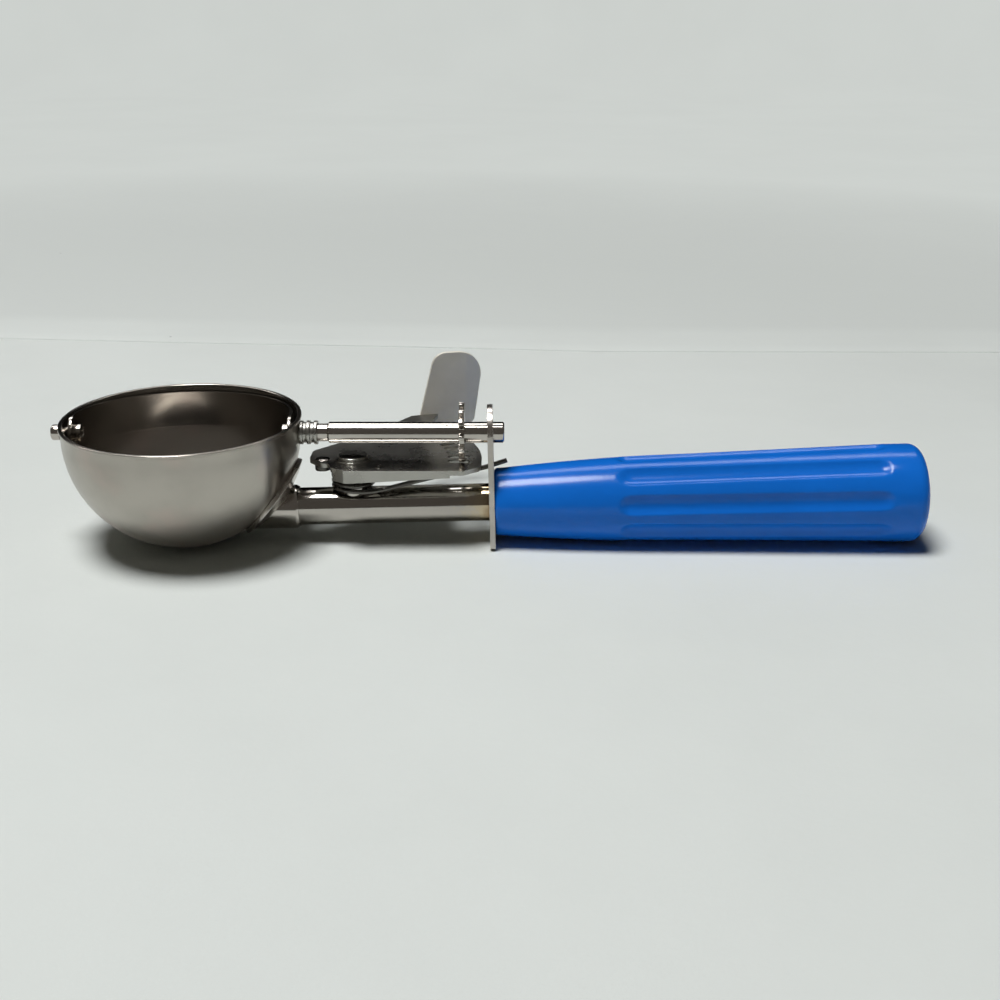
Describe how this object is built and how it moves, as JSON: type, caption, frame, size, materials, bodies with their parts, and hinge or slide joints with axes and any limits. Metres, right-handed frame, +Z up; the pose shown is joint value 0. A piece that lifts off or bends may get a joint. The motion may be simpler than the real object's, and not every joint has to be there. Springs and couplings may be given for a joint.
{
  "type": "lever ice cream scoop",
  "caption": "Ice cream scoop with a hemispherical steel bowl, a thumb lever that sweeps a scraper through it by a pinion, and a blue fluted grip.",
  "frame": {"origin": "middle of the bowl's rim, in the rim's plane", "axes": "+X from the bowl towards the grip's end, level; +Z up, out of the bowl's mouth; +Y towards the thumb tab's side"},
  "size_m": [0.2171, 0.071, 0.0387],
  "materials": {
    "bowl_steel": "polished stainless steel with fine scratches",
    "bright_steel": "bright turned and drawn stainless steel",
    "pressed_steel": "duller tumbled stainless sheet",
    "spring_steel": "dark drawn spring wire",
    "blue_plastic": "smooth glossy moulded plastic"
  },
  "bodies": {
    "frame": {"bowl": "bowl_steel", "bowl_saddle": "bowl_steel", "shank_socket": "bright_steel", "shank_tube": "bright_steel", "guard_plate": "bright_steel", "handle_grip": "blue_plastic", "spindle_bush": "bright_steel", "front_pivot_pin": "bright_steel", "lever_post": "bright_steel", "lever_rivet": "pressed_steel", "rivet_washer": "pressed_steel", "post_washer": "pressed_steel", "return_spring": "spring_steel"},
    "lever": {"lever_plate": "pressed_steel", "thumb_tab": "pressed_steel", "nose_stud": "pressed_steel"},
    "scraper": {"scraper_blade": "bowl_steel", "scraper_front_hub": "bright_steel", "scraper_rear_hub": "bright_steel", "spindle_rod": "bright_steel", "pinion": "bright_steel"}
  },
  "joints": [
    {"name": "lever_swing", "type": "hinge", "parent": "frame", "child": "lever", "pos_m": [0.0419, 0, -0.0116], "axis": [0, 0, -1], "range_deg": [0, 45], "stiffness_Nm_per_rad": 0.25, "springref_deg": -34.38, "deforming": ["return_spring"]},
    {"name": "scraper_turn", "type": "hinge", "parent": "frame", "child": "scraper", "pos_m": [0, 0, -0.004], "axis": [-1, 0, 0], "range_deg": [0, 166.5]}
  ],
  "couplings": [
    {"joint": "scraper_turn", "follows": "lever_swing", "ratio": 3.6923}
  ]
}
